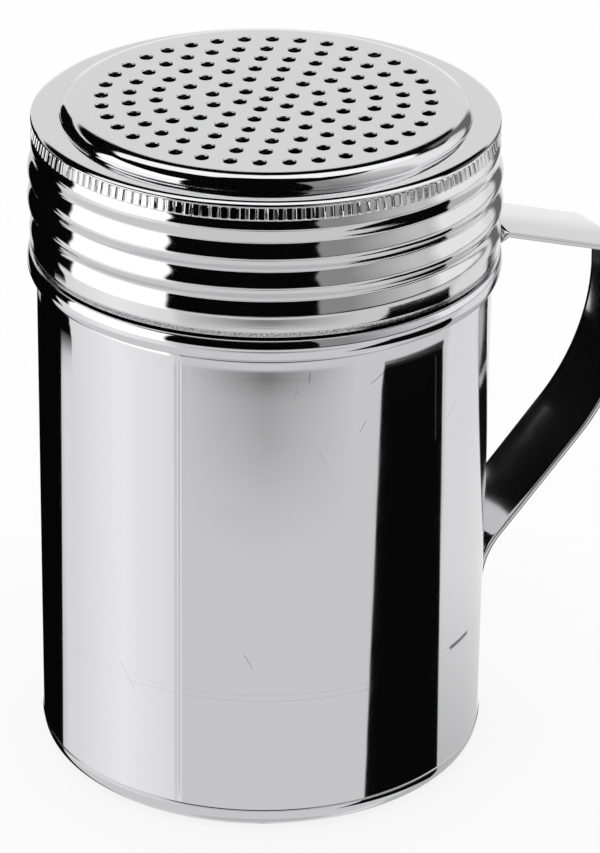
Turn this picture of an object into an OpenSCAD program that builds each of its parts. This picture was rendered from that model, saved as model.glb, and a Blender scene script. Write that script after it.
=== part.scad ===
// Stainless steel kitchen dredge: a straight-sided cup with a strap handle and a
// perforated lid with ring beads and a knurled edge. Millimetres, +Z up, real size.
// The cup stands on z = 0 with its axis on Z, and the handle points along +X.

/* [Cup] */
// outside diameter of the cup wall
cup_diameter = 66;        // [60:0.5:76]
// overall height from the floor to the perforated face
overall_height = 101.6;   // [95:0.1:112]
// thickness of the cup's sheet
cup_sheet = 0.6;          // [0.4:0.05:0.75]
// rounding of the base pan's outer edge
base_edge_radius = 3.3;   // [2:0.1:5]
// width of the side seam's weld bead
seam_width = 0.7;         // [0.4:0.1:1.2]
// how far a weld bead stands out of the wall
seam_height = 0.08;       // [0.05:0.01:0.15]
// place of the side seam, as a turn from the handle
seam_turn = -133.5;       // [-170:0.5:-60]

/* [Stop bead] */
// how far the rolled bead under the lid stands out of the wall
stop_bead_depth = 1.35;   // [1.2:0.05:1.6]
// height of that bead from its foot fillet to its top
stop_bead_height = 3.4;   // [2.8:0.1:3.8]
// radius of the fillet between the wall and the bead
stop_fillet = 0.55;       // [0.4:0.05:0.7]

/* [Neck] */
// step from the cup wall in to the neck that the lid covers
neck_step = 0.9;          // [0.7:0.05:1.2]
// how far the neck's ring beads stand out
neck_bead = 0.4;          // [0.2:0.05:0.45]
// width of the hem folded inside the rim
hem_width = 1.2;          // [1:0.1:1.6]
// depth of that hem
hem_depth = 2.2;          // [1.5:0.1:3.5]

/* [Lid] */
// height of the lid from its lower edge to the flange
skirt_height = 19.85;     // [19.3:0.05:22]
// thickness of the lid's sheet
lid_sheet = 0.5;          // [0.35:0.05:0.6]
// height of the perforated face above the flange
face_rise = 1.9;          // [1.4:0.1:3]
// width of the flange between the dome's foot and the neck's outside
flange_width = 2.3;       // [2:0.1:3.2]
// run of the rounded shoulder from the flat face to the flange
shoulder_run = 2.4;       // [1.8:0.1:2.8]
// run of the flange's rounded outer edge
edge_run = 1.1;           // [0.8:0.05:1.4]
// distance from one ring bead to the next
bead_pitch = 4.3;         // [4:0.05:4.4]
// how far the ring beads stand out of the skirt
bead_depth = 0.85;        // [0.5:0.05:1]
// how far the plain collar at the lower edge stands out of the skirt
collar_depth = 0.6;       // [0.4:0.05:0.8]

/* [Knurl] */
// number of ribs round the knurled edge
rib_count = 162;          // [120:1:180]
// depth of the grooves between the ribs
rib_depth = 0.35;         // [0.2:0.05:0.45]
// height of the knurled band
knurl_height = 2.2;       // [1.8:0.1:2.3]

/* [Perforation] */
// distance between the rings of holes
ring_pitch = 3.92;        // [3.6:0.02:4.1]
// diameter of each hole
hole_diameter = 1.9;      // [1.4:0.05:2.2]
// least plain margin between the outer holes and the face's edge
face_margin = 1;          // [0.5:0.1:2.5]
// turn of the hole pattern
pattern_turn = 55.5;      // [0:0.5:60]

/* [Handle] */
// width of the strap
strap_width = 16;         // [12:0.5:20]
// thickness of the strap
strap_thickness = 0.8;    // [0.6:0.05:1.2]
// clear space between the cup wall and the inside of the strap
handle_reach = 25;        // [20:0.5:32]
// fall of the strap's top from the stop bead to the outer corner
top_fall = 6.1;           // [4:0.1:9]
// height of the outer side between its two corners
grip_height = 19.4;       // [14:0.2:24]
// height where the strap's lower run meets the wall
lower_joint_height = 24.3; // [18:0.1:30]
// length of the tabs welded to the wall
tab_length = 9;           // [6:0.5:12]
// radius of the strap's cross curve at the grip
crown_radius = 24;        // [18:0.5:33]
// bend radius at the grip's upper corner
grip_bend_radius = 8;     // [6:0.5:10]
// bend radius at the grip's lower corner
lower_bend_radius = 28;   // [18:1:30]
// diameter of the spot welds in the tabs
spot_diameter = 2.6;      // [2:0.1:3.5]

/* [Clearances] */
// gap between the lid and the neck's ring beads
lid_clearance = 0.35;     // [0.3:0.05:0.5]
// gap between the lid's lower edge and the stop bead
edge_clearance = 0.4;     // [0.3:0.05:0.6]

/* [Hidden] */
$fn = 96;
wall_radius = cup_diameter / 2;
neck_radius = wall_radius - neck_step;
flange_z = overall_height - face_rise;
rim_z = flange_z - lid_sheet;
rim_round = 0.3;
lid_edge_z = flange_z - skirt_height;
base_joint_z = base_edge_radius + 0.3;

// stop bead: half an ellipse above a fillet, with the ledge under the lid on top
ledge_z = lid_edge_z - edge_clearance;
bead_foot_z = ledge_z - stop_bead_height - stop_fillet;
bead_centre_radius = wall_radius + stop_fillet;
stop_bead_radius = wall_radius + stop_bead_depth;

// the dome stands inside the rim, whose hem the flange rests on
dome_radius = neck_radius - flange_width;
face_radius = dome_radius - shoulder_run;
hole_rings = floor((face_radius - hole_diameter / 2 - face_margin) / ring_pitch);
foot_round = 0.3;

// the skirt's valleys, measured outside, clear the neck's beads by lid_clearance
valley_radius = neck_radius + neck_bead + lid_clearance + lid_sheet;
knurl_radius = valley_radius + 0.3;
waist_radius = valley_radius - 0.15;
knurl_inside = knurl_radius - rib_depth - lid_sheet;
flange_radius = knurl_radius - 0.05 - edge_run;
edge_drop = 0.45;
knurl_z = flange_z - edge_drop - knurl_height / 2;
waist_z = knurl_z - knurl_height / 2;

// ring beads: heights of the crests, and how far down the next valley is
bead_count = 3;
first_crest_drop = 3.95;
bead_fall = 1.9;
lid_bead_depths = bead_depth * [0.35, 0.9, 1];
neck_bead_depths = neck_bead * [1, 1, 1];
bead_steps = 8;
valley_sharpness = 0.75;

// collar: the sheet steps out below the last valley and draws in at the lower edge
collar_taper = 2.2;
collar_radius = valley_radius + collar_depth;
edge_height = 0.95;
edge_draw = 0.2;

// the strap's edges reach higher than its middle where it leaves the wall, so it bends
// out well below the stop bead, and turns up again before it reaches the crest
strap_joint_radius = stop_bead_radius + 0.02;
bend_below_bead = 1.3;
upright_below_crest = 1.75;
tab_bend_radius = 1.4;
crest_bend_radius = 0.5;
lower_tab_bend_radius = 8;
strap_steps = 8;
cross_steps = 12;
facet_lift = 0.01;
dimple_depth = 0.2;

steel = [0.78, 0.78, 0.80];
weld = [0.60, 0.60, 0.62];

// points on an elliptic arc from angle a to angle b
function arc(cx, cz, rx, rz, a, b, steps) =
    [for (i = [0 : steps]) let (t = a + (b - a) * i / steps)
        [cx + rx * cos(t), cz + rz * sin(t)]];

function reversed(list) = [for (i = [len(list) - 1 : -1 : 0]) list[i]];
function without_first(list) = [for (i = [1 : len(list) - 1]) list[i]];

// ---- ring beads, shared by the lid's skirt and the neck under it ----

function crest_z(k) = flange_z - first_crest_drop - bead_pitch * k;

// valley above bead k: the knurl's waist, or the foot of the bead before
function valley_z(k) = k == 0 ? waist_z : crest_z(k - 1) - bead_fall;

// side of a bead between a valley and a crest, tighter in the valley than on the crest
function bead_side(valley, crest) =
    [for (i = [0 : bead_steps]) let (s = i / bead_steps)
        [valley[0] + (crest[0] - valley[0]) * pow((1 - cos(180 * s)) / 2, valley_sharpness),
         valley[1] + (crest[1] - valley[1]) * s]];

// all the beads from the top down, for one valley radius and a list of depths
function ring_beads(valley, first_valley, depths) = concat(
    [[first_valley, valley_z(0)]],
    [for (k = [0 : bead_count - 1])
        let (crest = [valley + depths[k], crest_z(k)],
             above = [k == 0 ? first_valley : valley, valley_z(k)])
        each concat(without_first(bead_side(above, crest)),
                    without_first(reversed(bead_side([valley, valley_z(k + 1)], crest))))]);

// ---- cup ----

// outside of the cup wall: plain side, stop bead, neck with ring beads, rim
function wall_outline() = concat(
    [[wall_radius, base_joint_z]],
    arc(bead_centre_radius, bead_foot_z, stop_fillet, stop_fillet, 180, 90, 5),
    without_first(arc(bead_centre_radius, ledge_z - stop_bead_height / 2,
        stop_bead_depth - stop_fillet, stop_bead_height / 2, -90, 90, 14)),
    [[neck_radius, ledge_z]],
    reversed(ring_beads(neck_radius, neck_radius, neck_bead_depths)),
    [[neck_radius, rim_z - rim_round], [neck_radius - rim_round, rim_z]]);

// the rim's hem is folded inside, and the sheet follows the outline below it
function wall_inside() = concat(
    [[neck_radius - hem_width + rim_round, rim_z],
     [neck_radius - hem_width, rim_z - rim_round],
     [neck_radius - hem_width, rim_z - hem_depth],
     [neck_radius - cup_sheet, rim_z - hem_depth],
     [neck_radius - cup_sheet, ledge_z - cup_sheet]],
    arc(bead_centre_radius, ledge_z - stop_bead_height / 2,
        stop_bead_depth - stop_fillet - cup_sheet,
        stop_bead_height / 2 - cup_sheet, 90, -90, 8),
    without_first(arc(bead_centre_radius, bead_foot_z, stop_fillet + cup_sheet,
        stop_fillet + cup_sheet, 90, 180, 5)),
    [[wall_radius - cup_sheet, base_joint_z]]);

module body_wall() {
    color(steel) rotate_extrude() polygon(concat(wall_outline(), wall_inside()));
}

module base_pan() {
    corner = wall_radius - base_edge_radius;
    color(steel) rotate_extrude() polygon(concat(
        [[0, 0]],
        arc(corner, base_edge_radius, base_edge_radius, base_edge_radius, -90, 0, 10),
        [[wall_radius, base_joint_z], [wall_radius - cup_sheet, base_joint_z]],
        arc(corner, base_edge_radius, base_edge_radius - cup_sheet,
            base_edge_radius - cup_sheet, 0, -90, 10),
        [[0, cup_sheet]]));
}

// weld bead down the side, from the base joint to the stop bead's fillet
module side_seam() {
    seam_angle = seam_width / wall_radius * 180 / PI;
    color(weld) rotate([0, 0, seam_turn - seam_angle / 2])
        rotate_extrude(angle = seam_angle)
            translate([wall_radius, base_joint_z + seam_width])
                square([seam_height, bead_foot_z - base_joint_z - 2 * seam_width]);
}

// weld bead round the joint between wall and base pan
module base_seam() {
    color(weld) rotate_extrude()
        translate([wall_radius, base_joint_z - seam_width / 4])
            square([seam_height, seam_width / 2]);
}

// ---- lid ----

// the lid's outside, from the middle of the perforated face to the lower edge
function lid_outside() = concat(
    [[0, overall_height]],
    arc(face_radius, flange_z, shoulder_run, face_rise, 90, 12, 8),
    [[dome_radius + foot_round, flange_z]],
    arc(flange_radius, flange_z - edge_drop, edge_run, edge_drop, 90, 0, 6),
    [[knurl_radius, knurl_z + knurl_height / 2], [knurl_radius, waist_z]],
    ring_beads(valley_radius, waist_radius, lid_bead_depths),
    without_first(bead_side([valley_radius, valley_z(bead_count)],
                            [collar_radius, valley_z(bead_count) - collar_taper])),
    [[collar_radius, lid_edge_z + edge_height],
     [collar_radius - edge_draw, lid_edge_z + edge_height - 2 * edge_draw],
     [collar_radius - edge_draw, lid_edge_z]]);

// its inside, one sheet thickness in; behind the knurl it clears the grooves
function lid_inside() = concat(
    [[0, overall_height - lid_sheet]],
    arc(face_radius, flange_z, shoulder_run - lid_sheet, face_rise - lid_sheet, 90, 12, 8),
    [[dome_radius + foot_round - lid_sheet, flange_z - lid_sheet],
     [knurl_inside - edge_drop, flange_z - lid_sheet],
     [knurl_inside, flange_z - lid_sheet - edge_drop]],
    ring_beads(valley_radius - lid_sheet, waist_radius - lid_sheet, lid_bead_depths),
    without_first(bead_side([valley_radius - lid_sheet, valley_z(bead_count)],
                            [collar_radius - lid_sheet, valley_z(bead_count) - collar_taper])),
    [[collar_radius - lid_sheet, lid_edge_z + edge_height],
     [collar_radius - lid_sheet - edge_draw, lid_edge_z + edge_height - 2 * edge_draw],
     [collar_radius - lid_sheet - edge_draw, lid_edge_z]]);

// everything outside a star-shaped outline round the knurled band
module knurl_cut() {
    cut_margin = 2;
    rib_overlap = 0.05;
    translate([0, 0, waist_z])
        linear_extrude(knurl_height) difference() {
            circle(knurl_radius + cut_margin);
            polygon([for (i = [0 : 2 * rib_count - 1])
                let (r = i % 2 == 0 ? knurl_radius + rib_overlap : knurl_radius - rib_depth,
                     a = 180 * i / rib_count)
                [r * cos(a), r * sin(a)]]);
        }
}

// a hole in the middle, and rings of 6, 12, 18 and so on round it
module lid_holes() {
    hole_facets = 24;
    translate([0, 0, overall_height - 2 * lid_sheet]) {
        cylinder(d = hole_diameter, h = 3 * lid_sheet, $fn = hole_facets);
        for (k = [1 : hole_rings], i = [0 : 6 * k - 1])
            rotate([0, 0, pattern_turn + 60 * i / k])
                translate([ring_pitch * k, 0, 0])
                    cylinder(d = hole_diameter, h = 3 * lid_sheet, $fn = hole_facets);
    }
}

module lid() {
    color(steel) difference() {
        rotate_extrude() polygon(concat(lid_outside(), reversed(lid_inside())));
        knurl_cut();
        lid_holes();
    }
}

// ---- handle ----

// heights on the strap's inner face: its crest beside the stop bead, the grip's upper
// corner, the bend where the upper tab leaves the wall, and the ends of both tabs
grip_radius = wall_radius + handle_reach;
tab_radius = wall_radius + facet_lift;
crest_height = ledge_z - stop_bead_height / 2;
corner_height = crest_height - top_fall;
upper_bend_height = bead_foot_z - bend_below_bead;
upper_tab_end = upper_bend_height - tab_length;
lower_tab_end = lower_joint_height - lower_tab_bend_radius / 4 - tab_length;
wall_curve = 1 / wall_radius;
joint_curve = 1 / strap_joint_radius;

// corners of the loop's inner face from the upper tab round to the lower one:
// radius, height, bend radius, cross curvature (positive bulges out of the loop)
strap_corners = [
    [tab_radius + strap_thickness, upper_tab_end, 0, -wall_curve],
    [tab_radius + strap_thickness, upper_bend_height, tab_bend_radius, -wall_curve],
    [strap_joint_radius + strap_thickness, crest_height - upright_below_crest,
     tab_bend_radius, -joint_curve],
    [strap_joint_radius + strap_thickness, crest_height, crest_bend_radius, -joint_curve / 2],
    [grip_radius, corner_height, grip_bend_radius, 1 / crown_radius],
    [grip_radius, corner_height - grip_height, lower_bend_radius, 1 / crown_radius],
    [tab_radius, lower_joint_height, lower_tab_bend_radius, wall_curve],
    [tab_radius, lower_tab_end, 0, wall_curve]];

function flat(p) = [p[0], p[1]];
function unit(v) = v / norm(v);

// points round corner b, on an arc that touches the runs to a and to c:
// radius, height, cross curvature, direction of travel
function corner_points(a, b, c) = let (
    back = unit(flat(a) - flat(b)), ahead = unit(flat(c) - flat(b)),
    half = acos(back * ahead) / 2,
    centre = flat(b) + unit(back + ahead) * b[2] / sin(half),
    start = flat(b) + back * b[2] / tan(half) - centre,
    heading = atan2(-back[1], -back[0]),
    turn = sign(back[1] * ahead[0] - back[0] * ahead[1]) * (180 - 2 * half))
    [for (i = [0 : strap_steps]) let (t = turn * i / strap_steps)
        [centre[0] + start[0] * cos(t) - start[1] * sin(t),
         centre[1] + start[0] * sin(t) + start[1] * cos(t), b[3], heading + t]];

strap_last = len(strap_corners) - 1;
strap_path = concat(
    [[tab_radius + strap_thickness, upper_tab_end, -wall_curve, 90]],
    [for (i = [1 : strap_last - 1])
        each corner_points(strap_corners[i - 1], strap_corners[i], strap_corners[i + 1])],
    [[tab_radius, lower_tab_end, wall_curve, -90]]);

// how far a strip of cross curvature k falls away at y from its middle
function crown_drop(k, y) = k == 0 ? 0 : (1 - sqrt(1 - k * k * y * y)) / k;

// one cross section: the loop's inner face from side to side, the outer face back
function strap_section(p) = let (out = [-sin(p[3]), cos(p[3])])
    [for (face = [0, 1], j = [0 : cross_steps])
        let (y = strap_width * ((face == 0 ? j : cross_steps - j) / cross_steps - 0.5),
             lift = face * strap_thickness - crown_drop(p[2], y))
        [p[0] + out[0] * lift, y, p[1] + out[1] * lift]];

module strap_band() {
    count = 2 * (cross_steps + 1);
    last = len(strap_path) - 1;
    end_face = [for (j = [0 : cross_steps - 1]) [j, j + 1, count - 2 - j, count - 1 - j]];
    polyhedron(
        points = [for (p = strap_path) each strap_section(p)],
        faces = concat(
            end_face,
            [for (i = [0 : last - 1], j = [0 : count - 1]) let (k = (j + 1) % count)
                each [[i * count + j, (i + 1) * count + k, i * count + k],
                      [i * count + j, (i + 1) * count + j, (i + 1) * count + k]]],
            [for (face = end_face) [for (m = reversed(face)) last * count + m]]));
}

// shallow dimples that the spot welds leave in the face of each tab
module spot_weld_dimples() {
    spot_places = [0.3, 0.7];
    for (end = [upper_tab_end, lower_tab_end], share = spot_places)
        translate([wall_radius + strap_thickness - dimple_depth, 0, end + tab_length * share])
            rotate([0, 90, 0]) cylinder(d = spot_diameter, h = strap_thickness, $fn = 24);
}

module handle_strap() {
    color(steel) difference() {
        strap_band();
        spot_weld_dimples();
    }
}

body_wall();
base_pan();
side_seam();
base_seam();
handle_strap();
lid();
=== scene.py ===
"""Studio picture of a polished stainless dredge: cup, strap handle, perforated lid.

Sizes are millimetres until mesh_object() puts them into the mesh as metres. The frame
is the model's own: origin under the cup, +Z up, handle along +X.
"""
import math

import bmesh
import bpy
import numpy as np
from mathutils import Matrix, Vector
from mathutils.geometry import delaunay_2d_cdt


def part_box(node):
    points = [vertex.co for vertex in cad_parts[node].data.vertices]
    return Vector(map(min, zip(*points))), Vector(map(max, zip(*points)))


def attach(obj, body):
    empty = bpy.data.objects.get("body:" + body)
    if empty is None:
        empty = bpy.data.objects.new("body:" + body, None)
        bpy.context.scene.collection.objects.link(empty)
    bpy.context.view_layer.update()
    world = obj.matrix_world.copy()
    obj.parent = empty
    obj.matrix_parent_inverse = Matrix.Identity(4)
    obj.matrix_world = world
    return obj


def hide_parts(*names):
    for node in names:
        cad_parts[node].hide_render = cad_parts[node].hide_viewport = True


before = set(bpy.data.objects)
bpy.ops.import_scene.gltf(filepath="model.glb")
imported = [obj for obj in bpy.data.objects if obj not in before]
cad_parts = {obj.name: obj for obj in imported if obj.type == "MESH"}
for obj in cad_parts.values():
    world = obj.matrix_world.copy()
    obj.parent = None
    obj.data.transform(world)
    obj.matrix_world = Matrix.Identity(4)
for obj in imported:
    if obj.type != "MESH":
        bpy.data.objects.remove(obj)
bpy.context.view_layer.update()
MM = 0.001
CREASE = math.radians(42)


def node_heights(name):
    """Lowest and highest Z of a node at rest, in millimetres."""
    low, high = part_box(name)
    return low[2] / MM, high[2] / MM


# ---- cup: heights read from the frame, and the sheet metal's own sizes ----

JOINT_Z = node_heights("base_pan")[1]
RIM_Z = node_heights("body_wall")[1]
LID_EDGE_Z, FACE_Z = node_heights("lid")
STRAP_FOOT_Z = node_heights("handle_strap")[0]

WALL_RADIUS = 33.0
CUP_SHEET = 0.6
NECK_RADIUS = WALL_RADIUS - 0.9
CUP_STEPS = 420
BASE_STEPS = 360

STOP_BEAD_RADIUS = WALL_RADIUS + 1.35
STOP_BEAD_HEIGHT = 3.4
STOP_FILLET = 0.55
LEDGE_Z = LID_EDGE_Z - 0.4
CREST_Z = LEDGE_Z - STOP_BEAD_HEIGHT / 2
BEAD_FOOT_Z = LEDGE_Z - STOP_BEAD_HEIGHT - STOP_FILLET
CREASE_Z = BEAD_FOOT_Z + 0.45
CREASE_DEPTH = 0.2
EASE_Z = CREASE_Z - 3.35
WALL_EASE = ((0.5, 0.006), (1.5, 0.035), (2.2, 0.075), (2.8, 0.12))    # above EASE_Z, inwards
BURR = ((-0.25, 0.9), (-0.16, 0.97), (-0.05, 0.97), (0, 0.88))         # above LEDGE_Z, outwards
HEM = ((1.6, 1.2), (2.1, 1.15), (2.3, 0.7), (3.0, 0.6))                # below the rim, inwards
RIM_ROUND = 0.4
BASE_EDGE = JOINT_Z - 0.3              # radius of the base pan's rounded edge
POLE_RADIUS = 0.4                      # innermost ring of the base pan

SEAM_AZIMUTH = math.radians(-133.5)
SEAM_TOP_Z = BEAD_FOOT_Z + 0.2
SEAM_RIDGE = (0.020, 0.45, 0.4)        # height, place beside the seam, half width
SEAM_GROOVE = (0.022, -0.25, 0.3)
SIDE_WELD_RISE = 0.045
SIDE_WELD_HALF_WIDTH = 0.16
SIDE_WELD_END = 0.8
BASE_WELD_RADII = (0.11, 0.175)

# ---- lid ----

LID_SHEET = 0.5
LID_STEPS = 480
FLANGE_Z = RIM_Z + LID_SHEET
FACE_RADIUS = 26.5
EASE_RADIUS = 8.0
EASE_END = 82              # degrees; 90 is straight up
EASE_DROP = 0.12
SHOULDER_RUN = 2.2
SHOULDER_END = 14          # degrees
FOOT_CURVE = ((0.04, 0.11), (0.14, 0.01), (0.28, 0), (0.9, 0))     # outwards, above the flange
VALLEY_RADIUS = 33.35
COLLAR_RADIUS = VALLEY_RADIUS + 0.6
COLLAR_TAPER = 2.75
DRAWN_EDGE = ((1.25, 0), (0.95, 0.02), (0.62, 0.12), (0.35, 0.18), (0, 0.22))   # up, inwards
KNURL_RADIUS = VALLEY_RADIUS + 0.3
FLANGE_RADIUS = KNURL_RADIUS - 0.05
KNURL_HEIGHT = 2.2
KNURL_Z = FLANGE_Z - 0.45 - KNURL_HEIGHT / 2
EDGE_RUN = 1.35
EDGE_DROP = 0.45
RIB_COUNT = 162
RIB_DEPTH = 0.35
RIB_STEPS = 12
RIB_LEAST = (0.84, 0.40, -0.06, -0.12)     # strength, half width, shift and top of a rib
RIB_MOST = (1.0, 0.46, 0.06, 0.1)
RIB_FLANK = 0.16
RIB_TOP, RIB_TOP_RUN = 0.62, 0.3           # shares of the band's half height
RIB_FOOT, RIB_FOOT_RUN = 0.75, 0.25

BEAD_PITCH = 4.3
BEAD_FALL = 1.9
FIRST_CREST_Z = FLANGE_Z - 3.95
LID_BEAD_DEPTHS = (0.3, 0.765, 0.85)
NECK_BEAD_DEPTHS = (0.4, 0.4, 0.4)

HOLE_RADIUS = 0.95
RING_PITCH = 3.92
HOLE_RINGS = 6
PATTERN_TURN = math.radians(55.5)
HOLE_LIP = 0.16
UNDER_LIP = 0.08
LIP_STEPS = 28

# ---- handle ----

STRAP_SHEET = 0.8
STRAP_WIDTH = 14.1
LOWER_STRAP_WIDTH = 13.6
GRIP_RADIUS = 56.8         # of the grip's inner face
GRIP_CURVE_RADIUS = 60.0
TAB_LENGTH = 9.0
TAB_TOP_Z = BEAD_FOOT_Z - 1.3
TAB_BEND = 1.4
CREST_BEND = 0.5
GRIP_TOP_Z = CREST_Z - 6.3
GRIP_TOP_BEND = 5.3
GRIP_FOOT_Z = GRIP_TOP_Z - 19.3
GRIP_FOOT_BEND = 33
LOWER_JOINT_Z = 24.9
LOWER_BEND = 11
FLATTENED_RUN = 3
WALL_GAP = 0.01
BEAD_GAP = 0.02
STRAP_EDGE = 0.25

# ---- the photograph's camera: distances in mm from the cup's axis, angles in radians ----

HANDLE_AZIMUTH = math.radians(22.5)
CAMERA_DISTANCE = 580.2
CAMERA_HEIGHT = 334.72
CAMERA_YAW = 0.0093
CAMERA_PITCH = 0.4566
CAMERA_ROLL = 0.0126
FOCAL_PIXELS = 4383.9
PHOTO_HEIGHT = 853


# ---- surfaces ----

def arc(centre, radii, start, end, steps):
    """Points on an ellipse: centre plus radii times (cos t, sin t), t from start to end."""
    t = np.radians(np.linspace(start, end, steps))
    return np.stack([centre[0] + radii[0] * np.cos(t), centre[1] + radii[1] * np.sin(t)], 1)


def smooth_curve(knots, steps):
    """Catmull-Rom curve through the knots: on each span the cubic whose ends have half
    the vector between their neighbours as slope."""
    p = np.asarray(knots, float)
    p = np.vstack([2 * p[0] - p[1], p, 2 * p[-1] - p[-2]])
    t = np.linspace(0, 1, steps, endpoint=False)[None, :, None]
    a, b, c, d = (p[i:len(p) - 3 + i, None, :] for i in range(4))
    curve = 0.5 * (2 * b + (c - a) * t + (2 * a - 5 * b + 4 * c - d) * t ** 2
                   + (3 * b - a - 3 * c + d) * t ** 3)
    return np.vstack([curve.reshape(-1, 2), p[-2]])


def bead_side(valley, crest, steps):
    """Side of a bead between a valley and a crest (r, z): the radius grows by
    ((1 - cos pi t) / 2) ** 0.75, tighter in the valley than on the crest."""
    t = np.linspace(0, 1, steps)
    share = ((1 - np.cos(np.pi * t)) / 2) ** 0.75
    return np.stack([valley[0] + (crest[0] - valley[0]) * share,
                     valley[1] + (crest[1] - valley[1]) * t], 1)


def ring_beads(valley, first_valley, depths, steps):
    """The three ring beads from the top down, for one valley radius."""
    above = (first_valley, KNURL_Z - KNURL_HEIGHT / 2)
    rows = [np.array([above])]
    for k, depth in enumerate(depths):
        crest = (valley + depth, FIRST_CREST_Z - BEAD_PITCH * k)
        below = (valley, crest[1] - BEAD_FALL)
        rows += [bead_side(above, crest, steps)[1:], bead_side(below, crest, steps)[::-1][1:]]
        above = below
    return np.vstack(rows)


def grid_faces(rows, columns, wrap_rows):
    """Quads over a rows by columns grid of vertices, closed round the columns."""
    i = np.arange(rows if wrap_rows else rows - 1)[:, None]
    j = np.arange(columns)[None, :]
    up, on = (i + 1) % rows, (j + 1) % columns
    quads = [i * columns + j, i * columns + on, up * columns + on, up * columns + j]
    return np.stack(np.broadcast_arrays(*quads), -1).reshape(-1, 4)


def revolve(profile, azimuths, swell=None, closed=True):
    """Profile (r, z), outer side first and upwards, turned about Z: each vertex is
    (r cos a, r sin a, z). swell(a, z, r) moves a vertex outwards."""
    r, z = profile[:, 0][:, None], profile[:, 1][:, None]
    a = azimuths[None, :]
    if swell is not None:
        r = r + swell(a, z, r)
    points = np.stack(np.broadcast_arrays(r * np.cos(a), r * np.sin(a), z), -1)
    return points.reshape(-1, 3), grid_faces(len(profile), azimuths.size, closed).tolist()


def mesh_object(name, points, faces, material, body, slot, nodes):
    """Put millimetre points and faces into a smooth-shaded mesh that rides on a body."""
    mesh = bpy.data.meshes.new(name)
    mesh.from_pydata((np.asarray(points) * MM).tolist(), [], faces)
    mesh.polygons.foreach_set("use_smooth", np.ones(len(mesh.polygons), bool))
    mesh.set_sharp_from_angle(angle=CREASE)
    mesh.materials.append(material)
    mesh.update()
    piece = bpy.data.objects.new(name, mesh)
    bpy.context.scene.collection.objects.link(piece)
    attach(piece, body)
    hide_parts(*nodes)
    return piece


def full_turn(steps):
    """Angles of a whole turn in equal steps."""
    return np.linspace(0, 2 * np.pi, steps, endpoint=False)


# ---- cup ----

def outer_bead():
    """Outer face of the bead rolled into the wall under the lid, upwards from its crease:
    half an ellipse that ends below the burr."""
    centre = (WALL_RADIUS + STOP_FILLET, CREST_Z)
    half = (STOP_BEAD_RADIUS - centre[0], STOP_BEAD_HEIGHT / 2)
    foot = (WALL_RADIUS - 0.1, centre[1] - half[1] + 0.04)
    return np.vstack([[foot], arc(centre, half, -88, 58, 40)])


def inner_bead():
    """Its inner face, one sheet in, downwards: half an ellipse, then a quarter round."""
    centre = (WALL_RADIUS + STOP_FILLET, CREST_Z)
    half = (STOP_BEAD_RADIUS - centre[0] - CUP_SHEET, STOP_BEAD_HEIGHT / 2 - CUP_SHEET)
    fillet = STOP_FILLET + CUP_SHEET
    return np.vstack([arc(centre, half, 90, -90, 16),
                      arc((centre[0], BEAD_FOOT_Z), (fillet, fillet), 90, 180, 8)[1:]])


def wall_profile():
    """Outside of the wall upwards (side that eases in to a crease, stop bead with a burr
    on its upper edge, ledge, neck with ring beads), over the folded rim, and down the
    inside."""
    side = np.stack([np.full(24, WALL_RADIUS), np.linspace(JOINT_Z, EASE_Z, 24)], 1)
    eased = smooth_curve([(WALL_RADIUS - inwards, EASE_Z + above) for above, inwards in WALL_EASE]
                         + [(WALL_RADIUS - CREASE_DEPTH, CREASE_Z)], 6)
    burr = [(WALL_RADIUS + outwards, LEDGE_Z + above) for above, outwards in BURR]
    ledge = [(NECK_RADIUS + 0.5, LEDGE_Z), (NECK_RADIUS + 0.1, LEDGE_Z + 0.1),
             (NECK_RADIUS, LEDGE_Z + 0.5)]
    beads = ring_beads(NECK_RADIUS, NECK_RADIUS, NECK_BEAD_DEPTHS, 8)[::-1]
    rim = arc((NECK_RADIUS - CUP_SHEET, RIM_Z - RIM_ROUND), (CUP_SHEET, RIM_ROUND), 0, 180, 13)
    hem = smooth_curve([(NECK_RADIUS - inwards, RIM_Z - below) for below, inwards in HEM]
                       + [(NECK_RADIUS - CUP_SHEET, LEDGE_Z - 0.3)], 5)
    return np.vstack([side, eased, outer_bead(), burr, ledge, beads, rim, hem, inner_bead(),
                      [(WALL_RADIUS - CUP_SHEET, JOINT_Z)]])


def swelling(s, form):
    """Height times exp(-((s - place) / half width) ^ 2) of a form (height, place, half
    width)."""
    height, place, half_width = form
    return height * np.exp(-((s - place) / half_width) ** 2)


def seam_fold(a, z, r):
    """Fold of the outer face at the side seam: a narrow ridge beside a shallow groove,
    faded out evenly at both ends."""
    s = (np.remainder(a - SEAM_AZIMUTH + np.pi, 2 * np.pi) - np.pi) * WALL_RADIUS
    fold = swelling(s, SEAM_RIDGE) - swelling(s, SEAM_GROOVE)
    ends = np.clip((z - JOINT_Z) / 2, 0, 1) * np.clip((SEAM_TOP_Z - z) / 2.5, 0, 1)
    return np.where(r > WALL_RADIUS - 0.2, fold * ends, 0)


def build_cup(steel, weld):
    """Wall, with finer steps at its seam, base pan and the two weld beads."""
    near_seam = SEAM_AZIMUTH + np.linspace(-0.06, 0.06, 61)
    rest = np.linspace(near_seam[-1], near_seam[0] + 2 * np.pi, CUP_STEPS)[1:-1]
    azimuths = np.concatenate([rest, near_seam + 2 * np.pi])
    points, faces = revolve(wall_profile(), azimuths, seam_fold)
    mesh_object("cup_wall", points, faces, steel, "cup", "polished_steel", ["body_wall"])
    build_base(steel)
    build_base_weld(weld)
    build_side_weld(weld)


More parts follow.
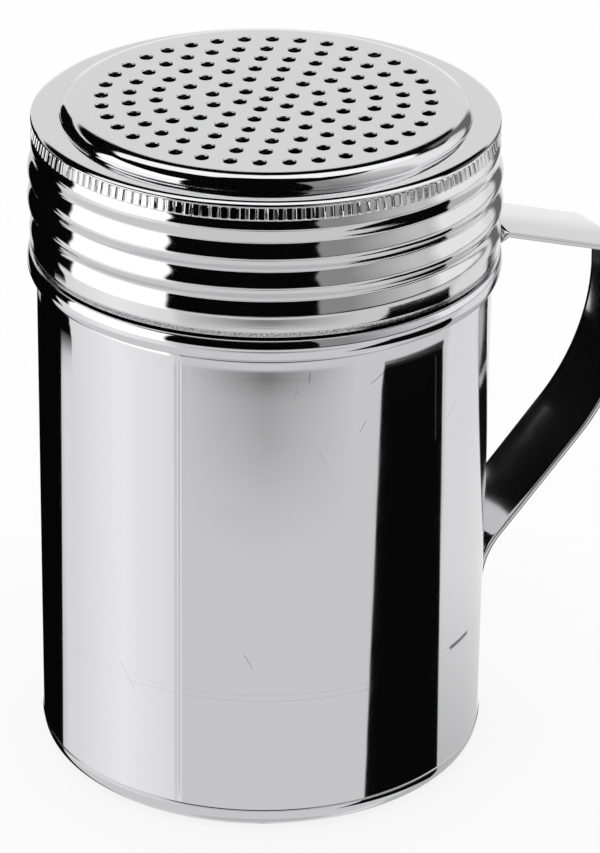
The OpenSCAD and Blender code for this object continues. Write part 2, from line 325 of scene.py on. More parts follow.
def build_base(steel):
    """Base pan: flat, with a quarter round of radius BASE_EDGE up to the joint."""
    corner, inner = WALL_RADIUS - BASE_EDGE, BASE_EDGE - CUP_SHEET
    pan = np.vstack([
        np.stack([np.linspace(POLE_RADIUS, corner - 1, 12), np.zeros(12)], 1),
        arc((corner, BASE_EDGE), (BASE_EDGE, BASE_EDGE), -90, 0, 20),
        [(WALL_RADIUS, JOINT_Z), (WALL_RADIUS - CUP_SHEET, JOINT_Z)],
        arc((corner, BASE_EDGE), (inner, inner), 0, -90, 16),
        np.stack([np.linspace(corner - 1, POLE_RADIUS, 12), np.full(12, CUP_SHEET)], 1)])
    points, faces = revolve(pan, full_turn(BASE_STEPS))
    points, faces = close_axis(points, faces, BASE_STEPS, len(pan))
    mesh_object("cup_base", points, faces, steel, "cup", "polished_steel", ["base_pan"])


def build_base_weld(weld):
    """Weld bead round the joint: an ellipse turned about Z."""
    ring = arc((WALL_RADIUS - 0.03, JOINT_Z), BASE_WELD_RADII, -90, 270, 13)[:-1]
    points, faces = revolve(ring, full_turn(BASE_STEPS))
    mesh_object("base_weld", points, faces, weld, "cup", "weld_bead", ["base_seam"])


def close_axis(points, faces, columns, rows):
    """Drop the strip that joins the last row to the first and fan both rows to poles."""
    faces = faces[:(rows - 1) * columns]
    low, high = len(points), len(points) + 1
    points = np.vstack([points, [0, 0, points[0, 2]], [0, 0, points[-1, 2]]])
    first, last = np.arange(columns), (rows - 1) * columns + np.arange(columns)
    faces += np.stack([np.roll(first, -1), first, np.full(columns, low)], 1).tolist()
    faces += np.stack([last, np.roll(last, -1), np.full(columns, high)], 1).tolist()
    return points, faces


def build_side_weld(weld):
    """Thin bead down the side: an ellipse swept upwards, its size the square root of
    1 - (2 t - 1) ^ 16 at the share t of the length."""
    rows, around = 60, 10
    t = np.linspace(0, 1, rows)[:, None]
    u = full_turn(around)[None, :]
    size = np.sqrt(np.clip(1 - (2 * t - 1) ** 16, 0.02, 1))
    radius = WALL_RADIUS + SIDE_WELD_RISE * size * np.sin(u)
    azimuth = SEAM_AZIMUTH + SIDE_WELD_HALF_WIDTH * size * np.cos(u) / WALL_RADIUS
    z = JOINT_Z + SIDE_WELD_END + (SEAM_TOP_Z - JOINT_Z - 2 * SIDE_WELD_END) * t
    points = np.stack(np.broadcast_arrays(radius * np.cos(azimuth), radius * np.sin(azimuth), z),
                      -1).reshape(-1, 3)
    faces = grid_faces(rows, around, False).tolist()
    faces += [list(range(around))[::-1], list(range((rows - 1) * around, rows * around))]
    mesh_object("side_weld", points, faces, weld, "cup", "weld_bead", ["side_seam"])


# ---- lid ----

def flange_edge(inset):
    """Rounded outer edge of the flange, moved in by inset, outwards and down."""
    centre = (FLANGE_RADIUS - EDGE_RUN - inset, FLANGE_Z - EDGE_DROP - inset)
    return arc(centre, (EDGE_RUN, EDGE_DROP), 90, 0, 16)


def skirt_profile(inset, steps):
    """The lid below its knurl, moved in by inset: ring beads, collar, drawn-in edge."""
    beads = ring_beads(VALLEY_RADIUS - inset, VALLEY_RADIUS - 0.15 - inset, LID_BEAD_DEPTHS,
                       steps)
    valley = tuple(beads[-1])
    collar = COLLAR_RADIUS - inset
    taper = bead_side(valley, (collar, valley[1] - COLLAR_TAPER), steps)[1:]
    drawn = smooth_curve([(collar - inwards, LID_EDGE_Z + above)
                          for above, inwards in DRAWN_EDGE], max(2, steps // 3))
    return np.vstack([beads, taper, drawn])


def knurl(a, z, r):
    """Ribs on the band's outer face. Across, each has a flat crest and steep flanks: a
    smooth step of the distance to its middle. Upwards it leans back and ends round, and
    no two ribs are quite alike."""
    rng = np.random.default_rng(7)
    strength, width, shift, top = rng.uniform(RIB_LEAST, RIB_MOST, (RIB_COUNT, 4)).T
    phase = RIB_COUNT * a / (2 * np.pi)
    rib = np.round(phase).astype(int) % RIB_COUNT
    beside = np.abs(phase - np.round(phase) - shift[rib])
    step = np.clip((width[rib] - beside) / RIB_FLANK, 0, 1)
    height = (z - KNURL_Z) / (KNURL_HEIGHT / 2)
    lean = 0.8 - 0.2 * height
    above = np.clip((height - RIB_TOP - top[rib]) / RIB_TOP_RUN, 0, 1)
    below = np.clip((-RIB_FOOT - height) / RIB_FOOT_RUN, 0, 1)
    ends = np.sqrt(1 - above ** 2) * np.sqrt(1 - below ** 2)
    ribs = RIB_DEPTH * strength[rib] * step ** 2 * (3 - 2 * step) * lean * ends
    return np.where(r > KNURL_RADIUS - 0.8, ribs, 0)


def build_knurl(steel):
    """The knurled band: a ring whose outer face leans out downwards and carries the ribs."""
    groove = KNURL_RADIUS - RIB_DEPTH
    high, low = KNURL_Z + KNURL_HEIGHT / 2, KNURL_Z - KNURL_HEIGHT / 2
    rows = 25
    outside = np.stack([np.linspace(groove, groove - 0.3, rows), np.linspace(low, high, rows)], 1)
    inside = [(groove - LID_SHEET, high), (groove - LID_SHEET, low)]
    azimuths = full_turn(RIB_COUNT * RIB_STEPS)
    points, faces = revolve(np.vstack([outside, inside]), azimuths, knurl)
    mesh_object("lid_knurl", points, faces, steel, "lid", "polished_steel", ["lid"])


def hole_centres():
    """Centre hole and rings k = 1.. of 6 k holes, all rings starting at PATTERN_TURN."""
    rings = [np.zeros((1, 2))]
    for k in range(1, HOLE_RINGS + 1):
        t = PATTERN_TURN + np.arange(6 * k) * 2 * np.pi / (6 * k)
        rings.append(RING_PITCH * k * np.stack([np.cos(t), np.sin(t)], 1))
    return np.vstack(rings)


def dome_half(inset):
    """The dome moved in by inset, inside to outside: a shallow arc that leaves the flat
    face, the rounded shoulder (an ellipse), its foot, the flange and its rounded edge."""
    centre = (FACE_RADIUS, FACE_Z - EASE_RADIUS)
    ease = arc(centre, (EASE_RADIUS, EASE_RADIUS - inset), 90, EASE_END, 7)
    run, rise = SHOULDER_RUN - inset, FACE_Z - FLANGE_Z - EASE_DROP
    start = math.atan(math.tan(math.radians(EASE_END)) * rise / run)
    centre = ease[-1] - (run * math.cos(start), rise * math.sin(start))
    shoulder = arc(centre, (run, rise), math.degrees(start), SHOULDER_END, 20)[1:]
    foot = [(shoulder[-1][0] + outwards, FLANGE_Z - inset + above)
            for outwards, above in FOOT_CURVE]
    foot = smooth_curve([shoulder[-1], *foot], 4)
    return np.vstack([ease, shoulder[:-1], foot, flange_edge(inset)])


def perforated_face(height, below):
    """Flat face with a round opening at each hole: a constrained triangulation between the
    rim circle and the lip circles, without the triangles inside a lip."""
    t = full_turn(LID_STEPS)
    rim = FACE_RADIUS * np.stack([np.cos(t), np.sin(t)], 1)
    lip = HOLE_RADIUS + HOLE_LIP
    u = full_turn(LIP_STEPS)
    circle = np.stack([np.cos(u), np.sin(u)], 1)
    centres = hole_centres()
    rings = (centres[:, None, :] + lip * circle[None]).reshape(-1, 2)
    flat = np.vstack([rim, rings])
    loops = [list(range(LID_STEPS))]
    loops += [list(range(LID_STEPS + i * LIP_STEPS, LID_STEPS + (i + 1) * LIP_STEPS))[::-1]
              for i in range(len(centres))]
    found = delaunay_2d_cdt([Vector(p) for p in flat], [], loops, 1, 1e-6)
    corners = np.array([tuple(p) for p in found[0]])
    triangles = np.array([face for face in found[2] if len(face) == 3])
    middle = corners[triangles].mean(1)
    near = np.linalg.norm(middle[:, None] - centres[None], axis=2).min(1) < lip * 0.985
    triangles = triangles[~near]
    a, b, c = (corners[triangles[:, i]] for i in range(3))
    area = (b[:, 0] - a[:, 0]) * (c[:, 1] - a[:, 1]) - (b[:, 1] - a[:, 1]) * (c[:, 0] - a[:, 0])
    triangles[area < 0] = triangles[area < 0][:, ::-1]
    if below:
        triangles = triangles[:, ::-1]
    points = np.column_stack([corners, np.full(len(corners), height)])
    return points, triangles.tolist()


def hole_walls():
    """Lip and wall of every hole: a section (quarter round, straight wall, quarter round
    back out below) turned about each hole's own axis."""
    under = FACE_Z - LID_SHEET
    lip = HOLE_RADIUS + HOLE_LIP
    top = arc((lip, FACE_Z - HOLE_LIP), (HOLE_LIP, HOLE_LIP), 90, 180, 6)
    bottom = arc((lip, under + UNDER_LIP), (HOLE_LIP, UNDER_LIP), 180, 270, 4)
    section = np.vstack([top, bottom])
    u = full_turn(LIP_STEPS)
    centres = hole_centres()
    x = centres[:, None, None, 0] + section[None, :, None, 0] * np.cos(u)
    y = centres[:, None, None, 1] + section[None, :, None, 0] * np.sin(u)
    z = np.broadcast_to(section[None, :, None, 1], x.shape)
    points = np.stack([x, y, z], -1).reshape(-1, 3)
    one = grid_faces(len(section), LIP_STEPS, False)
    starts = np.arange(len(centres)) * len(section) * LIP_STEPS
    faces = (one[None] + starts[:, None, None]).reshape(-1, 4)
    return points, faces[:, ::-1].tolist()


def merge(parts):
    """Join several (points, faces), each with faces of one kind, into one list of each."""
    points, faces, start = [], [], 0
    for more_points, more_faces in parts:
        points.append(np.asarray(more_points, float))
        faces += (np.asarray(more_faces) + start).tolist()
        start += len(more_points)
    return np.vstack(points), faces


def weld_doubles(piece, distance=0.002):
    """Merge vertices that lie on one another, so the smooth shading runs across, and
    shade level faces flat."""
    work = bmesh.new()
    work.from_mesh(piece.data)
    bmesh.ops.remove_doubles(work, verts=work.verts, dist=distance * MM)
    work.to_mesh(piece.data)
    work.free()
    mesh = piece.data
    normals = np.empty(len(mesh.polygons) * 3)
    mesh.polygons.foreach_get("normal", normals)
    level = np.abs(normals.reshape(-1, 3)[:, 2]) > 1 - 1e-7
    mesh.polygons.foreach_set("use_smooth", ~level)
    mesh.set_sharp_from_angle(angle=CREASE)


def build_lid(steel):
    """One stamping in three pieces that meet at its creases: the perforated dome with the
    flange, the knurled band, and the skirt with its ring beads."""
    azimuths = full_turn(LID_STEPS)
    above, below = dome_half(0), dome_half(LID_SHEET)
    shell = np.vstack([above, below[::-1]])
    dome = merge([revolve(shell[::-1], azimuths, closed=False),
                  perforated_face(FACE_Z, False),
                  perforated_face(FACE_Z - LID_SHEET, True), hole_walls()])
    piece = mesh_object("lid_dome", *dome, steel, "lid", "polished_steel", ["lid"])
    weld_doubles(piece)
    build_knurl(steel)

    profile = np.vstack([skirt_profile(0, 12)[::-1], skirt_profile(LID_SHEET, 5)])
    points, faces = revolve(profile, azimuths)
    mesh_object("lid_skirt", points, faces, steel, "lid", "polished_steel", ["lid"])


# ---- handle ----

def strap_path():
    """Inner face of the handle's loop in (r, z), from the upper tab round to the lower one:
    straight runs joined by arcs that touch them, with the strip's cross curvature, heading
    and width at each point."""
    k_wall, k_grip = 1 / WALL_RADIUS, 1 / GRIP_CURVE_RADIUS
    k_bead = 1 / (STOP_BEAD_RADIUS + BEAD_GAP)
    wall = WALL_RADIUS + WALL_GAP
    tab = wall + STRAP_SHEET
    bead = STOP_BEAD_RADIUS + BEAD_GAP + STRAP_SHEET
    top, low = STRAP_WIDTH, LOWER_STRAP_WIDTH
    corners = [(tab, TAB_TOP_Z - TAB_LENGTH, 0, -k_wall, top),
               (tab, TAB_TOP_Z, TAB_BEND, -k_wall, top),
               (bead, CREST_Z - 1.75, TAB_BEND, -k_bead, top),
               (bead, CREST_Z, CREST_BEND, k_grip, top),
               (GRIP_RADIUS, GRIP_TOP_Z, GRIP_TOP_BEND, k_grip, top),
               (GRIP_RADIUS, GRIP_FOOT_Z, GRIP_FOOT_BEND, k_grip, (top + low) / 2),
               (wall, LOWER_JOINT_Z, LOWER_BEND, k_grip, low),
               (wall, STRAP_FOOT_Z, 0, k_wall, low)]
    rows = [(*corners[0][:2], -k_wall, math.pi / 2, top)]
    for a, b, c in zip(corners, corners[1:], corners[2:]):
        rows += corner_arc(np.array(a[:2]), np.array(b[:2]), np.array(c[:2]), b[2], b[3:])
    rows.append((wall, rows[-1][1] - FLATTENED_RUN, k_wall, -math.pi / 2, low))
    rows.append((*corners[-1][:2], k_wall, -math.pi / 2, low))
    return refine(np.array(rows))


def corner_arc(a, b, c, radius, section, steps=22):
    """Arc of a radius that touches the runs b-a and b-c, as rows (r, z, curvature, heading,
    width) for a section (curvature, width)."""
    back, ahead = (a - b) / np.linalg.norm(a - b), (c - b) / np.linalg.norm(c - b)
    half = math.acos(float(back @ ahead)) / 2
    middle = (back + ahead) / np.linalg.norm(back + ahead)
    centre = b + middle * radius / math.sin(half)
    start = b + back * radius / math.tan(half) - centre
    heading = math.atan2(-back[1], -back[0])
    turn = math.copysign(math.pi - 2 * half, back[1] * ahead[0] - back[0] * ahead[1])
    t = turn * np.linspace(0, 1, steps)
    x = centre[0] + start[0] * np.cos(t) - start[1] * np.sin(t)
    z = centre[1] + start[0] * np.sin(t) + start[1] * np.cos(t)
    return list(zip(x, z, np.full(steps, section[0]), heading + t, np.full(steps, section[1])))


def refine(rows, step=0.5):
    """Add rows on the straight runs, so that no two are further apart than step."""
    out = [rows[:1]]
    for a, b in zip(rows, rows[1:]):
        count = max(1, math.ceil(np.hypot(*(b[:2] - a[:2])) / step))
        out.append(a + (b - a) * (np.arange(1, count + 1) / count)[:, None])
    return np.vstack(out)


def build_handle(steel):
    """Sheet-metal strap: a flat strip with round edges, curved across by the path's
    curvature k (it falls away by (1 - sqrt(1 - k^2 y^2)) / k), swept along the path."""
    rows = strap_path()
    thick, edge = STRAP_SHEET, STRAP_EDGE
    across = np.linspace(-1, 1, 25)
    corner = np.radians(np.linspace(0, 90, 5))
    side = np.concatenate([across, np.ones(10), across[::-1], -np.ones(10)])
    round_off = np.concatenate([np.zeros(25), np.sin(corner), np.cos(corner), np.zeros(25),
                                -np.sin(corner), -np.cos(corner)])
    lift = np.concatenate([np.zeros(25), edge - edge * np.cos(corner),
                           thick - edge + edge * np.sin(corner), np.full(25, thick),
                           thick - edge + edge * np.cos(corner), edge - edge * np.sin(corner)])
    r, z, k, heading, width = (rows[:, i][:, None] for i in range(5))
    y = side[None, :] * (width / 2 - edge) + round_off[None, :] * edge
    rise = lift[None, :] - (1 - np.sqrt(1 - (k * y) ** 2)) / k
    points = np.stack(np.broadcast_arrays(r - np.sin(heading) * rise, y,
                                          z + np.cos(heading) * rise), -1).reshape(-1, 3)
    around = len(side)
    faces = grid_faces(len(rows), around, False).tolist()
    last = (len(rows) - 1) * around
    faces += [list(range(around))[::-1], list(range(last, last + around))]
    piece = mesh_object("strap", points, faces, steel, "cup", "polished_steel", ["handle_strap"])
    weld_doubles(piece)


# ---- materials ----

def link(tree, source, target):
    """Join two sockets."""
    tree.links.new(source, target)


def math_node(tree, operation, *values, clamp=False):
    """A Math node; each value is a number or the socket that feeds it."""
    node = tree.nodes.new("ShaderNodeMath")
    node.operation = operation
    node.use_clamp = clamp
    for socket, value in zip(node.inputs, values):
        if isinstance(value, (int, float)):
            socket.default_value = value
        else:
            link(tree, value, socket)
    return node.outputs[0]


def noise(tree, vector, scale, detail=2.0, roughness=0.5):
    """Noise from 0 to 1 at a vector."""
    node = tree.nodes.new("ShaderNodeTexNoise")
    node.inputs["Scale"].default_value = scale
    node.inputs["Detail"].default_value = detail
    node.inputs["Roughness"].default_value = roughness
    link(tree, vector, node.inputs["Vector"])
    return node.outputs["Fac"]


def combine(tree, x, y, z):
    """A vector of three values, each a number or a socket."""
    node = tree.nodes.new("ShaderNodeCombineXYZ")
    for socket, value in zip(node.inputs, (x, y, z)):
        if isinstance(value, (int, float)):
            socket.default_value = value
        else:
            link(tree, value, socket)
    return node.outputs[0]


def turned_coordinates(tree):
    """Object coordinates as (azimuth in radians, height in mm, radius in mm)."""
    place = tree.nodes.new("ShaderNodeTexCoord")
    apart = tree.nodes.new("ShaderNodeSeparateXYZ")
    link(tree, place.outputs["Object"], apart.inputs[0])
    x, y, z = apart.outputs
    azimuth = math_node(tree, "ARCTAN2", y, x)
    radius = math_node(tree, "SQRT", math_node(tree, "ADD", math_node(tree, "MULTIPLY", x, x),
                                               math_node(tree, "MULTIPLY", y, y)))
    height = math_node(tree, "MULTIPLY", z, 1 / MM)
    return azimuth, height, math_node(tree, "MULTIPLY", radius, 1 / MM)


# Scratches on the wall, and one dent whose dark reflection is painted in as shade: azimuth in
# degrees and height of the middle, half length, half width, lean from upright in degrees,
# strength.
SCRATCHES_AND_DENT_SHADE = (
    (-83.9, 71.5, 1.2, 0.05, -124, 0.7),
    (-101.4, 73.1, 0.8, 0.07, 5, 0.9),
    (-104.8, 70.6, 1.1, 0.04, 18, 0.5),
    (-87.5, 64.5, 0.9, 0.05, 30, 0.7),
    (-97.8, 60.3, 1.3, 0.04, -20, 0.3),
    (-65.0, 65.3, 6.6, 0.045, -2, 0.6),
    (-115.8, 28.4, 1.2, 0.06, -29, 0.5),
    (-58.5, 62.0, 1.6, 0.04, 48, 0.4),
    (-148.4, 22.5, 2.3, 0.04, -34, 0.4),
    # Painted shade: this row is a dent, not a scratch; the dark reflection of its hollow is
    # painted into the colour.
    (-50.8, 22.6, 2.85, 0.32, 90, 1.0),
)
MARK_SIDE_SOFTNESS = 0.04
MARK_END_SOFTNESS = 0.5
RING_MARKS = ((22.9, 0.075), (21.9, 0.12))    # height, strength
RING_HALF_WIDTH = 0.08
MARK_COLOUR = (0.22, 0.22, 0.23)
MARK_ROUGHNESS = 0.3

# Noise on the steel: polishing lines per radian and per millimetre, the rest per metre.
POLISH_ROUND, POLISH_UP = 1.6, 2.2
POLISH_SCALE = 3.0
WAVE_SCALE = 90.0
SMEAR_SCALE = 160.0
SMEAR_RANGE = 0.05
SPECK_SCALE = 4500.0
SPECK_LEAST = 0.28
SPECK_STRENGTH = 2.6


def slanted_mark(tree, azimuth, height, mark):
    """Strength inside one slanted line of the wall's marks table, 0 elsewhere; for the dent's row
    this is painted shade.
    """
    middle, level, half_length, half_width, lean, strength = mark
    lean = math.radians(lean)
    off = math_node(tree, "SUBTRACT", azimuth, math.radians(middle))
    round_wall = math_node(tree, "MULTIPLY", off, WALL_RADIUS)
    up = math_node(tree, "SUBTRACT", height, level)
    along = math_node(tree, "ADD", math_node(tree, "MULTIPLY", round_wall, math.sin(lean)),
                      math_node(tree, "MULTIPLY", up, math.cos(lean)))
    beside = math_node(tree, "SUBTRACT", math_node(tree, "MULTIPLY", round_wall, math.cos(lean)),
                       math_node(tree, "MULTIPLY", up, math.sin(lean)))
    inside = math_node(
        tree, "MULTIPLY",
        window(tree, along, -half_length, half_length, MARK_END_SOFTNESS),
        window(tree, beside, -half_width, half_width, MARK_SIDE_SOFTNESS))
    return math_node(tree, "MULTIPLY", inside, strength)


def wall_marks_and_dent_shade(tree, azimuth, height):
    """All scratches of the wall, the dent's painted shade, and two faint lines round it."""
    marks = [slanted_mark(tree, azimuth, height, mark) for mark in SCRATCHES_AND_DENT_SHADE]
    for level, strength in RING_MARKS:
        line = window(tree, height, level - RING_HALF_WIDTH, level + RING_HALF_WIDTH, 0.1)
        marks.append(math_node(tree, "MULTIPLY", line, strength))
    total = marks[0]
    for mark in marks[1:]:
        total = math_node(tree, "MAXIMUM", total, mark)
    return total


def lid_marks(tree, _, height):
    """Dull specks in a band on the lid's drawn-in edge."""
    place = tree.nodes.new("ShaderNodeTexCoord").outputs["Object"]
    specks = math_node(tree, "SUBTRACT", noise(tree, place, SPECK_SCALE), SPECK_LEAST)
    dull = math_node(tree, "MULTIPLY", specks, SPECK_STRENGTH, clamp=True)
    band = window(tree, height, LID_EDGE_Z + 0.05, LID_EDGE_Z + 0.75, 0.2)
    return math_node(tree, "MULTIPLY", dull, band)


def steel_material(name, colour, roughness, lines, waves, marks=None):
    """Polished stainless sheet. Fine polishing lines run round the axis and broad shallow
    waves bend the reflections; lines and waves are their heights in millimetres.
    marks(tree, azimuth, height) says where marks dull and darken it; on the wall these include a
    dent whose shade is painted in as dark colour."""
    material = bpy.data.materials.new(name)
    material.use_nodes = True
    tree = material.node_tree
    shader = tree.nodes["Principled BSDF"]
    shader.inputs["Base Color"].default_value = (*colour, 1)
    shader.inputs["Metallic"].default_value = 1.0
    azimuth, height, radius = turned_coordinates(tree)
    run = combine(tree, math_node(tree, "MULTIPLY", azimuth, POLISH_ROUND),
                  math_node(tree, "MULTIPLY", height, POLISH_UP),
                  math_node(tree, "MULTIPLY", radius, POLISH_UP))
    polish = noise(tree, run, POLISH_SCALE, 3.0, 0.6)
    place = tree.nodes.new("ShaderNodeTexCoord").outputs["Object"]
    broad = noise(tree, place, WAVE_SCALE, 1.0)
    height_sum = math_node(tree, "ADD", math_node(tree, "MULTIPLY", polish, lines),
                           math_node(tree, "MULTIPLY", broad, waves))
    bump = tree.nodes.new("ShaderNodeBump")
    bump.inputs["Strength"].default_value = 1.0
    bump.inputs["Distance"].default_value = MM
    link(tree, height_sum, bump.inputs["Height"])
    link(tree, bump.outputs[0], shader.inputs["Normal"])
    smear = math_node(tree, "MULTIPLY_ADD", noise(tree, place, SMEAR_SCALE, 4.0, 0.6),
                      SMEAR_RANGE, roughness - SMEAR_RANGE / 2)
    if marks is not None:
        mark = marks(tree, azimuth, height)
        smear = math_node(tree, "MULTIPLY_ADD", mark, MARK_ROUGHNESS, smear)
        # Mark colour: real scratches and specks, and on the wall the dent's painted shade.
        tint = tree.nodes.new("ShaderNodeMix")
        tint.data_type = "RGBA"
        tint.inputs["A"].default_value = (*colour, 1)
        tint.inputs["B"].default_value = (*MARK_COLOUR, 1)
        link(tree, mark, tint.inputs["Factor"])
        link(tree, tint.outputs["Result"], shader.inputs["Base Color"])
    link(tree, smear, shader.inputs["Roughness"])
    return material


# ---- studio ----

def camera_axes():
    """Camera's place and axes, turned from the photograph's frame to the handle's."""
    turn = Matrix.Rotation(-HANDLE_AZIMUTH, 3, "Z")
    ahead = Vector((math.sin(CAMERA_YAW) * math.cos(CAMERA_PITCH),
                    math.cos(CAMERA_YAW) * math.cos(CAMERA_PITCH), -math.sin(CAMERA_PITCH)))
    level = Vector((math.cos(CAMERA_YAW), -math.sin(CAMERA_YAW), 0))
    above = level.cross(ahead)
    right = math.cos(CAMERA_ROLL) * level + math.sin(CAMERA_ROLL) * above
    up = math.cos(CAMERA_ROLL) * above - math.sin(CAMERA_ROLL) * level
    place = Vector((0, -CAMERA_DISTANCE, CAMERA_HEIGHT)) * MM
    return turn @ place, turn @ right, turn @ up, turn @ ahead


def add_camera():
    """The photograph's camera, from its focal length in pixels."""
    place, right, up, ahead = camera_axes()
    data = bpy.data.cameras.new("photo_camera")
    data.sensor_width = 36.0
    data.lens = FOCAL_PIXELS / PHOTO_HEIGHT * data.sensor_width
    data.clip_start, data.clip_end = 0.05, 20.0
    camera = bpy.data.objects.new("photo_camera", data)
    axes = Matrix((right, up, -ahead)).transposed().to_4x4()
    camera.matrix_world = Matrix.Translation(place) @ axes
    bpy.context.scene.collection.objects.link(camera)
    bpy.context.scene.camera = camera


# Soft boxes, cards and table as the shaker's surfaces see them, each over those before
# it. In degrees: azimuth of the middle (from the camera's side, to the right), half width,
# widening for each degree below WIDENING_TOP, lowest and highest elevation, softness; and
# brightness.
WIDENING_TOP = -25
STEEPEST_SOFTNESS = 3.0
DARK_STUDIO = 0.001
CARDS = (
    (0, 181, 0, -90, -10, 5.0, 0.73),        # pale table
    (-83, 40, 0, -34, -9, 5.0, 0.86),        # table lit from the left
    (-76, 16, 0, -33, -10, 44.0, 1.07),      # its brightest strip
    (142, 36, 0, -70, -10, 2.0, 0.86),       # table lit from the right
    (136, 30, 0, -60, -29.5, 3.0, 0.55),     # its shaded near part
    (2, 24, 0, -26.2, -19.5, 44.0, 0.25),    # shade on it before the camera
    (0, 181, 0, -95, -74, 6.0, 0.58),        # the shaker's own foot
    (180, 60, 0, -8, 28.5, 2.0, 0.84),       # white backdrop
    (180, 12, 0, -40, 10, 4.0, 1.0),         # its brighter middle
    (180, 65, 0, 45.5, 76, 1.5, 1.2),        # soft box high behind
    (-74, 28, 0, -16, 33, 2.0, 1.4),         # large soft box on the left
    (53, 27, 0, -6, 60, 0.8, 0.30),          # grey card on the right
    (78, 20, 0, -6, 60, 34.0, 0.66),         # its lighter side
    (107, 20, 0, -8, 60, 9.0, 1.0),          # soft box on the right
    (146, 8, 0, -24, 40, 5.0, 0.16),         # dark frame beside it
    (-134, 21, 0, -25, 24, 0.8, 0.002),      # black card on the left
    (-148.5, 24.5, -0.8, -70, -24, 0.5, 0.002),    # its foot on the table
    (82.7, 20, 0.94, -44, -23.9, 0.4, 0.003),      # black card on the right
    (82.5, 19.6, 0, -24.2, -22.6, 0.6, 0.02),      # its upper edge
)


def window(tree, value, low, high, soft):
    """1 between low and high, falling linearly to 0 over soft on each side."""
    rise = math_node(tree, "DIVIDE", math_node(tree, "SUBTRACT", value, low - soft / 2), soft,
                     clamp=True)
    fall = math_node(tree, "DIVIDE", math_node(tree, "SUBTRACT", high + soft / 2, value), soft,
                     clamp=True)
    return math_node(tree, "MULTIPLY", rise, fall)


def card_mask(tree, azimuth, elevation, card):
    """1 inside a card of CARDS, measured as the azimuth's distance from its middle."""
    middle, half, widening, low, high, soft, _ = card
    turned = math_node(tree, "FLOORED_MODULO", math_node(tree, "ADD", azimuth, 540 - middle), 360)
    beside = math_node(tree, "ABSOLUTE", math_node(tree, "SUBTRACT", turned, 180))
    if widening:
        below = math_node(tree, "SUBTRACT", WIDENING_TOP, elevation)
        beside = math_node(tree, "SUBTRACT", beside, math_node(tree, "MULTIPLY", below, widening))
    across = math_node(tree, "DIVIDE", math_node(tree, "SUBTRACT", half + soft / 2, beside), soft,
                       clamp=True)
    tall = window(tree, elevation, low, high, min(soft, STEEPEST_SOFTNESS))
    return math_node(tree, "MULTIPLY", across, tall)


def build_world():
    """White for the camera; for reflections, a studio painted by direction."""
    world = bpy.data.worlds.new("studio")
    bpy.context.scene.world = world
    world.use_nodes = True
    tree = world.node_tree
    tree.nodes.clear()
    ahead = camera_axes()[-1]
    direction = tree.nodes.new("ShaderNodeTexCoord").outputs["Generated"]

    def along(vector):
        node = tree.nodes.new("ShaderNodeVectorMath")
        node.operation = "DOT_PRODUCT"
        link(tree, direction, node.inputs[0])
        node.inputs[1].default_value = vector
        return node.outputs["Value"]

    def degrees(angle):
        return math_node(tree, "MULTIPLY", angle, 180 / math.pi)

    level = Vector((-ahead.x, -ahead.y, 0)).normalized()
    side = Vector((-level.y, level.x, 0))
    azimuth = degrees(math_node(tree, "ARCTAN2", along(side), along(level)))
    elevation = degrees(math_node(tree, "ARCSINE", along((0, 0, 1))))
    value = DARK_STUDIO
    for card in CARDS:
        mask, bright = card_mask(tree, azimuth, elevation, card), card[-1]
        keep = math_node(tree, "SUBTRACT", 1.0, mask)
        value = math_node(tree, "ADD", math_node(tree, "MULTIPLY", keep, value),
                          math_node(tree, "MULTIPLY", mask, bright))
    reflected = tree.nodes.new("ShaderNodeBackground")
    link(tree, combine(tree, value, value, value), reflected.inputs["Color"])
    white = tree.nodes.new("ShaderNodeBackground")
    white.inputs["Color"].default_value = (1, 1, 1, 1)
    rays = tree.nodes.new("ShaderNodeLightPath")
    mix = tree.nodes.new("ShaderNodeMixShader")
    link(tree, rays.outputs["Is Glossy Ray"], mix.inputs[0])
    link(tree, white.outputs[0], mix.inputs[1])
    link(tree, reflected.outputs[0], mix.inputs[2])
    output = tree.nodes.new("ShaderNodeOutputWorld")
    link(tree, mix.outputs[0], output.inputs["Surface"])


FLOOR_HALF_WIDTH = 1.5    # metres
FLOOR_COLOUR = (0.96, 0.96, 0.96)
FLOOR_GLOW = 0.8


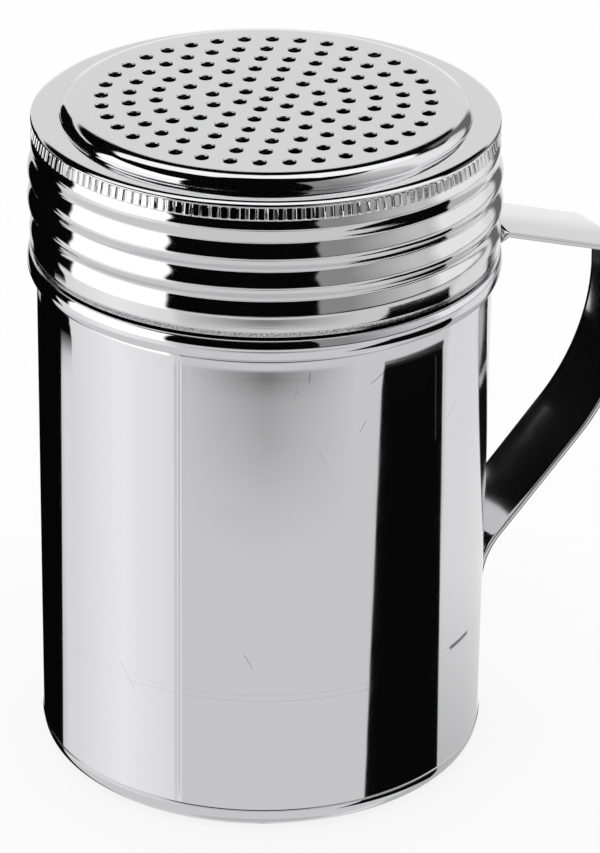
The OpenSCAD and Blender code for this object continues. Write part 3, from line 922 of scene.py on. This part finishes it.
def build_floor():
    """Pale floor that keeps a faint shadow; reflections show the studio's table."""
    far = FLOOR_HALF_WIDTH
    corners = [(-far, -far, 0), (far, -far, 0), (far, far, 0), (-far, far, 0)]
    mesh = bpy.data.meshes.new("floor")
    mesh.from_pydata(corners, [], [(0, 1, 2, 3)])
    floor = bpy.data.objects.new("floor", mesh)
    material = bpy.data.materials.new("pale_floor")
    material.use_nodes = True
    tree = material.node_tree
    tree.nodes.clear()
    diffuse = tree.nodes.new("ShaderNodeBsdfDiffuse")
    diffuse.inputs["Color"].default_value = (*FLOOR_COLOUR, 1)
    glow = tree.nodes.new("ShaderNodeEmission")
    glow.inputs["Color"].default_value = (1, 1, 1, 1)
    rays = tree.nodes.new("ShaderNodeLightPath")
    share = math_node(tree, "MULTIPLY", rays.outputs["Is Camera Ray"], FLOOR_GLOW)
    mix = tree.nodes.new("ShaderNodeMixShader")
    link(tree, share, mix.inputs[0])
    link(tree, diffuse.outputs[0], mix.inputs[1])
    link(tree, glow.outputs[0], mix.inputs[2])
    output = tree.nodes.new("ShaderNodeOutputMaterial")
    link(tree, mix.outputs[0], output.inputs["Surface"])
    mesh.materials.append(material)
    bpy.context.scene.collection.objects.link(floor)
    floor.visible_glossy = False


def main():
    """The whole picture: shaker, camera, studio and floor."""
    cup_steel = steel_material("cup_steel", (0.76, 0.76, 0.775), roughness=0.045,
                               lines=0.0004, waves=0.012, marks=wall_marks_and_dent_shade)
    lid_steel = steel_material("lid_steel", (0.76, 0.76, 0.77), roughness=0.05,
                               lines=0.003, waves=0.01, marks=lid_marks)
    strap_steel = steel_material("strap_steel", (0.76, 0.76, 0.77), roughness=0.09,
                                 lines=0.001, waves=0.02)
    weld_steel = steel_material("weld_steel", (0.66, 0.66, 0.67), roughness=0.16,
                                lines=0.001, waves=0.02)
    build_cup(cup_steel, weld_steel)
    build_lid(lid_steel)
    build_handle(strap_steel)
    add_camera()
    build_world()
    build_floor()
    bpy.context.scene.view_settings.view_transform = "Standard"


main()
